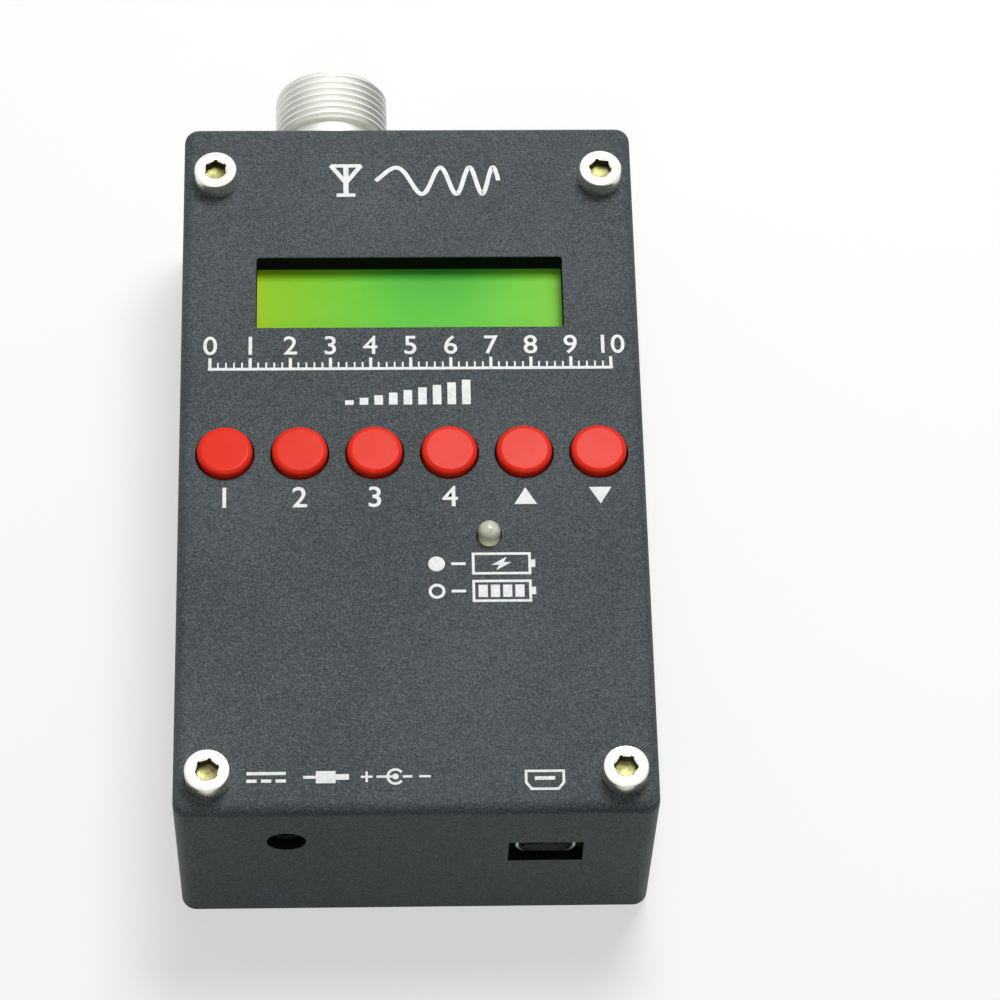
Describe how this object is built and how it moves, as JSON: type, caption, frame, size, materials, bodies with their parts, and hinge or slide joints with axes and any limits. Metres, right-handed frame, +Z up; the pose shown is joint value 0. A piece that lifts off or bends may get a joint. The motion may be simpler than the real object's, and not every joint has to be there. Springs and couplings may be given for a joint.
{
  "type": "antenna analyzer",
  "caption": "Hand-held antenna analyzer: flat box with a display window, a row of round push buttons, a charging lamp, power and data sockets and a threaded coaxial antenna socket.",
  "frame": {"origin": "middle of the case's underside, under the centre of the box without its antenna socket", "axes": "+Z up out of the button face, +Y along the case towards the antenna socket, +X to the right when the buttons are read"},
  "size_m": [0.062, 0.1182, 0.0336],
  "materials": {
    "coated_case": "fine textured black powder coat",
    "bright_screw": "bright nickel plate",
    "nickel": "bright nickel plate",
    "turned_aluminium": "as turned",
    "spring_steel": "bright",
    "red_cap": "moulded, glossy",
    "white_stem": "moulded",
    "black_moulding": "moulded",
    "board_green": "solder mask",
    "light_guide": "frosted",
    "display_glass": "lit yellow-green panel",
    "bezel_black": "black oxide",
    "milky_lamp": "diffused epoxy",
    "tinned_lead": "tinned",
    "brass_pin": "plated brass",
    "fluoropolymer": "machined white",
    "shrink_sleeve": "shrunk film",
    "foam_pad": "foam",
    "lead_insulation": "insulation",
    "white_nylon": "moulded",
    "crystal_can": "drawn can",
    "ferrite": "ferrite"
  },
  "bodies": {
    "case": {"top_shell": "coated_case", "base_plate": "coated_case", "case_screws": "bright_screw", "upper_spacers": "turned_aluminium", "lower_posts": "turned_aluminium", "main_board": "board_green", "lcd_board": "board_green", "lcd_backlight": "light_guide", "lcd_glass": "display_glass", "lcd_bezel": "bezel_black", "lcd_supports": "white_nylon", "lcd_header": "black_moulding", "lcd_pins": "tinned_lead", "snap_domes": "spring_steel", "status_lamp": "milky_lamp", "lamp_leads": "tinned_lead", "dc_jack_body": "black_moulding", "dc_jack_pin": "nickel", "dc_jack_contact": "nickel", "data_socket_shell": "nickel", "data_socket_insert": "black_moulding", "rf_shell": "nickel", "rf_insulator": "fluoropolymer", "rf_centre_contact": "brass_pin", "rf_screws": "bright_screw", "rf_nuts": "bright_screw", "power_switch_case": "black_moulding", "power_switch_cover": "spring_steel", "battery_pack": "shrink_sleeve", "battery_pad": "foam_pad", "battery_plug": "white_nylon", "battery_socket": "white_nylon", "battery_leads": "lead_insulation", "processor": "black_moulding", "synthesizer": "black_moulding", "charger_chip": "black_moulding", "power_inductor": "ferrite", "crystal": "crystal_can", "filter_capacitors": "turned_aluminium", "switch_body_1": "black_moulding", "switch_body_2": "black_moulding", "switch_body_3": "black_moulding", "switch_body_4": "black_moulding", "switch_body_5": "black_moulding", "switch_body_6": "black_moulding"},
    "button_1": {"button_cap_1": "red_cap", "button_stem_1": "white_stem"},
    "button_2": {"button_cap_2": "red_cap", "button_stem_2": "white_stem"},
    "button_3": {"button_cap_3": "red_cap", "button_stem_3": "white_stem"},
    "button_4": {"button_cap_4": "red_cap", "button_stem_4": "white_stem"},
    "button_5": {"button_cap_5": "red_cap", "button_stem_5": "white_stem"},
    "button_6": {"button_cap_6": "red_cap", "button_stem_6": "white_stem"},
    "power_lever": {"power_slider": "black_moulding"}
  },
  "joints": [
    {"name": "button_1_press", "type": "slide", "parent": "case", "child": "button_1", "axis": [0, 0, -1], "range_m": [0, 0.00025], "stiffness_N_per_m": 4000},
    {"name": "button_2_press", "type": "slide", "parent": "case", "child": "button_2", "axis": [0, 0, -1], "range_m": [0, 0.00025], "stiffness_N_per_m": 4000},
    {"name": "button_3_press", "type": "slide", "parent": "case", "child": "button_3", "axis": [0, 0, -1], "range_m": [0, 0.00025], "stiffness_N_per_m": 4000},
    {"name": "button_4_press", "type": "slide", "parent": "case", "child": "button_4", "axis": [0, 0, -1], "range_m": [0, 0.00025], "stiffness_N_per_m": 4000},
    {"name": "button_5_press", "type": "slide", "parent": "case", "child": "button_5", "axis": [0, 0, -1], "range_m": [0, 0.00025], "stiffness_N_per_m": 4000},
    {"name": "button_6_press", "type": "slide", "parent": "case", "child": "button_6", "axis": [0, 0, -1], "range_m": [0, 0.00025], "stiffness_N_per_m": 4000},
    {"name": "power_switch_slide", "type": "slide", "parent": "case", "child": "power_lever", "axis": [1, 0, 0], "range_m": [0, 0.002]}
  ]
}
